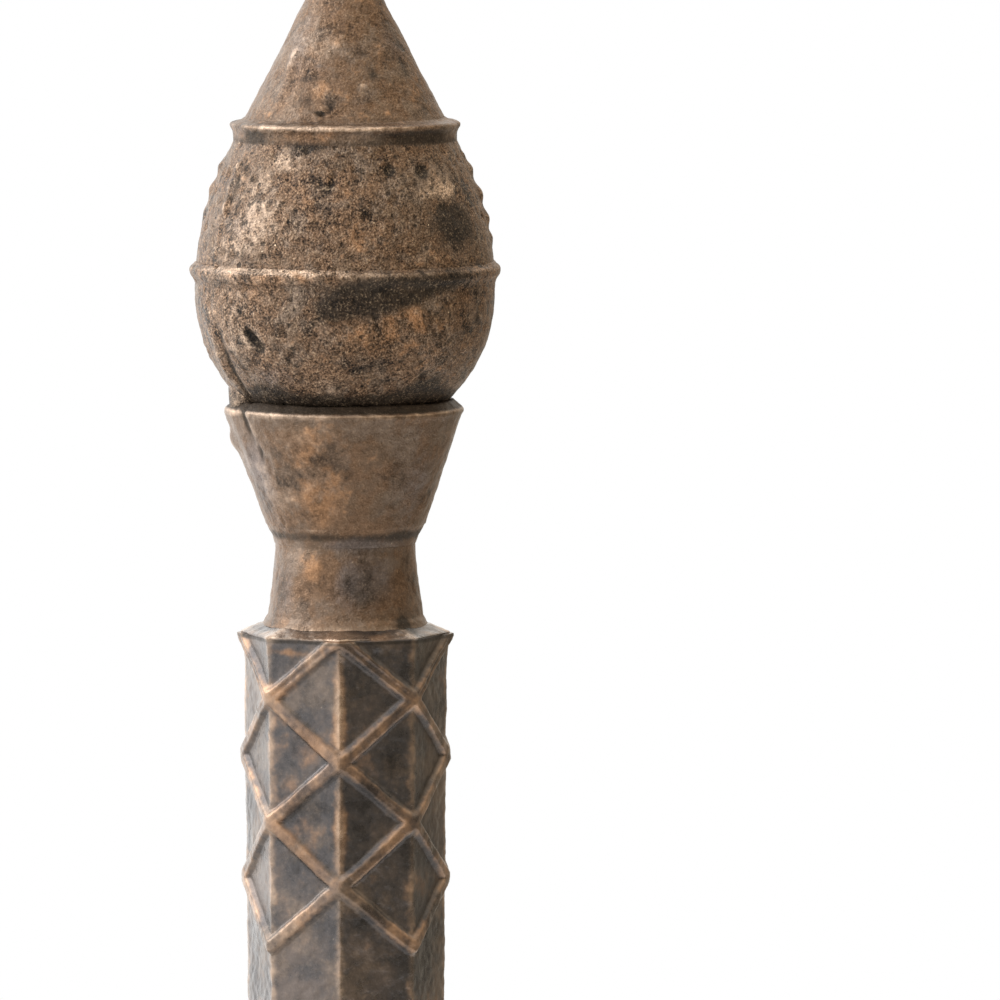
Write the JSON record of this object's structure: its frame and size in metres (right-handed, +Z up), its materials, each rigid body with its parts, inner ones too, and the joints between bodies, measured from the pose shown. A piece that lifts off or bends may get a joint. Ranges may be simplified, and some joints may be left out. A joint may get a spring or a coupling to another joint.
{
  "type": "scale model of a minaret",
  "caption": "Cast bronze scale model of a minaret: octagonal lattice shaft, round neck and collar, belted bulb, conical spire and crescent finial.",
  "frame": {"origin": "centre of the underside of the base slab", "axes": "+Z up along the axis of the minaret; -Y towards the front, where a corner of the octagon stands; +X to the right"},
  "size_m": [0.072, 0.072, 0.3999],
  "materials": {
    "foot_bronze": "dark brown patina over cast bronze, worn bright on the edges",
    "shaft_bronze": "dark grey-brown patina over cast bronze, worn bright on the corners and the raised lattice",
    "collar_bronze": "brown patina over cast bronze with warm orange patches",
    "bulb_bronze": "brown patina over cast bronze, grainy as cast in sand, with pits",
    "spire_bronze": "brown patina over cast bronze, fine grain",
    "finial_bronze": "brown patina over cast bronze, worn bright on the beads"
  },
  "bodies": {
    "root": {"base_slab": "foot_bronze", "base_step": "foot_bronze", "plinth": "foot_bronze", "plinth_cornice": "foot_bronze", "shaft_foot_ring": "shaft_bronze", "shaft_lower": "shaft_bronze", "shaft_middle": "shaft_bronze", "shaft_upper": "shaft_bronze", "shaft_cap": "shaft_bronze", "neck": "collar_bronze", "collar_foot": "collar_bronze", "collar": "collar_bronze", "bulb_lower": "bulb_bronze", "belt": "bulb_bronze", "bulb_upper": "bulb_bronze", "rim_ring": "spire_bronze", "spire_cone": "spire_bronze", "finial_ball": "finial_bronze", "finial_teardrop": "finial_bronze", "finial_disc": "finial_bronze", "finial_knob": "finial_bronze", "crescent": "finial_bronze"}
  },
  "joints": []
}
